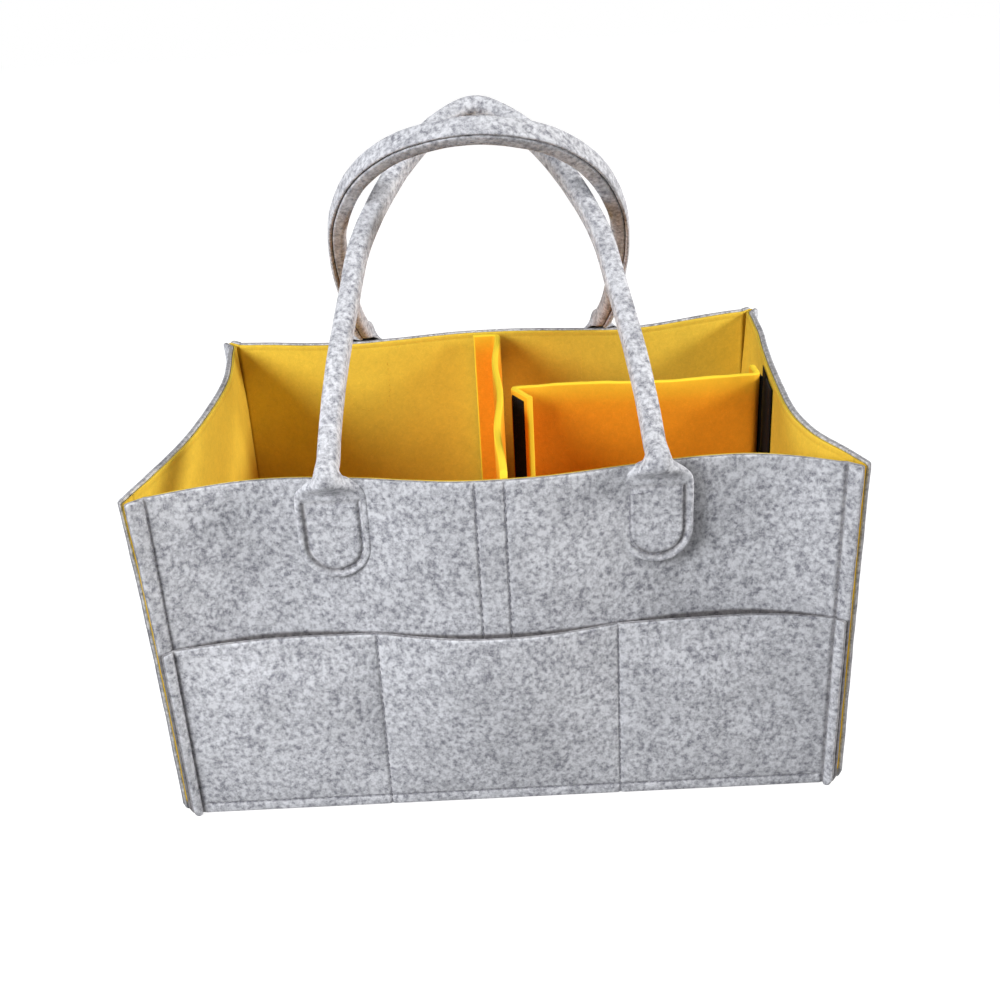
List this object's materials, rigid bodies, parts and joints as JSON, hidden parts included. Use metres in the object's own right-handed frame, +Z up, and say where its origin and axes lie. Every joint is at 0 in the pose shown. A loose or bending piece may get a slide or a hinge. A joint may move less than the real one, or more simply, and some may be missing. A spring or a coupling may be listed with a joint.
{
  "type": "diaper caddy",
  "caption": "Open felt storage box with a coloured lining, outside pocket strips, arched fold-down handles and hook-fastened inner dividers that swing on their flaps.",
  "frame": {"origin": "on the floor under the middle of the box, at the bottom centre of its outer box", "axes": "+Z up, +X along the length to the right as seen from the front, -Y towards the front"},
  "size_m": [0.3374, 0.2581, 0.3216],
  "materials": {
    "grey_felt": "mottled pressed felt, matte",
    "handle_felt": "mottled pressed felt, matte, rolled and stitched",
    "lining_felt": "smooth yellow felt, matte",
    "divider_felt": "smooth orange-yellow felt, matte",
    "hook_tape": "black hook tape, matte"
  },
  "bodies": {
    "caddy": {"front_panel": "grey_felt", "back_panel": "grey_felt", "left_end_panel": "grey_felt", "right_end_panel": "grey_felt", "base_panel": "grey_felt", "front_lining": "lining_felt", "back_lining": "lining_felt", "left_end_lining": "lining_felt", "right_end_lining": "lining_felt", "base_lining": "lining_felt", "front_pocket_strip": "grey_felt", "back_pocket_strip": "grey_felt", "front_left_patch": "handle_felt", "front_right_patch": "handle_felt", "back_left_patch": "handle_felt", "back_right_patch": "handle_felt", "mid_divider_front_flap": "divider_felt", "mid_divider_front_hook_strip": "hook_tape", "cross_divider_right_flap": "divider_felt", "cross_divider_right_hook_strip": "hook_tape", "right_end_hook_strip": "hook_tape"},
    "front_handle": {"front_handle": "handle_felt"},
    "back_handle": {"back_handle": "handle_felt"},
    "mid_divider": {"mid_divider": "divider_felt", "mid_divider_back_hook_strip": "hook_tape"},
    "cross_divider": {"cross_divider": "divider_felt", "cross_divider_left_hook_strip": "hook_tape"}
  },
  "joints": [
    {"name": "front_handle_fold", "type": "hinge", "parent": "caddy", "child": "front_handle", "pos_m": [-0.001, -0.10961, 0.1777], "axis": [-1, 0, 0], "range_deg": [0, 31]},
    {"name": "back_handle_fold", "type": "hinge", "parent": "caddy", "child": "back_handle", "pos_m": [-0.005, 0.11278, 0.1777], "axis": [-1, 0, 0], "range_deg": [0, 130]},
    {"name": "mid_divider_swing", "type": "hinge", "parent": "caddy", "child": "mid_divider", "pos_m": [0.004, -0.1101, 0.0054], "axis": [0, 0, 1], "range_deg": [0, 35]},
    {"name": "cross_divider_swing", "type": "hinge", "parent": "caddy", "child": "cross_divider", "pos_m": [0.14599, 0.011, 0.0054], "axis": [0, 0, 1], "range_deg": [0, 45]}
  ]
}
